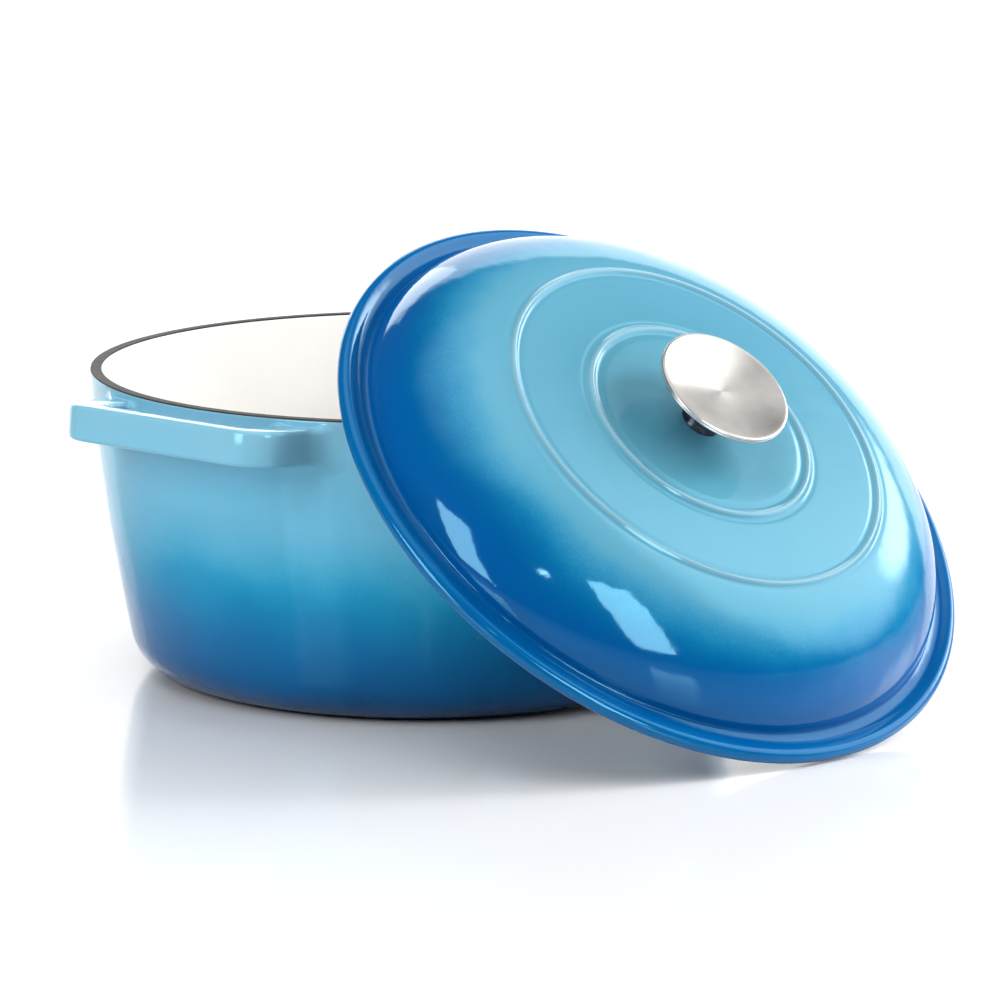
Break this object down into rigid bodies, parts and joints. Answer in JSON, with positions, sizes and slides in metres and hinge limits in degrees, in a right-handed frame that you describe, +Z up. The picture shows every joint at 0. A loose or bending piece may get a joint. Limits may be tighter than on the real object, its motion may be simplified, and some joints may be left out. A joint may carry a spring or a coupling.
{
  "type": "dutch oven",
  "caption": "Round enamelled cast iron pot with cast loop handles; its domed lid with a dished steel knob leans against the rim.",
  "frame": {"origin": "centre of the pot's foot ring, on the plane the pot stands on", "axes": "+Z up along the pot's axis; X runs through the two loop handles; the lid leans on the pot's -Y side with its top facing away from the pot"},
  "size_m": [0.311, 0.3616, 0.1788],
  "materials": {
    "iron": "bare, matt, sealed dark",
    "enamel_blue": "gloss vitreous enamel, shading from pale to deep blue",
    "enamel_cream": "gloss vitreous enamel",
    "enamel_base": "dark gloss vitreous enamel",
    "steel": "spun, concentric brushing",
    "stem": "gloss, near black"
  },
  "bodies": {
    "pot": {"pot_casting": "iron", "pot_exterior_enamel": "enamel_blue", "pot_interior_enamel": "enamel_cream", "pot_base_enamel": "enamel_base"},
    "lid": {"lid_casting": "iron", "lid_exterior_enamel": "enamel_blue", "lid_interior_enamel": "enamel_cream", "knob_cap": "steel", "knob_stem": "stem", "knob_flat_washer": "steel", "knob_lock_washer": "steel", "knob_screw": "steel"}
  },
  "joints": [
    {"name": "lid_lift", "type": "slide", "parent": "pot", "child": "lid", "axis": [0, 0, 1], "range_m": [0, 0.16]}
  ]
}
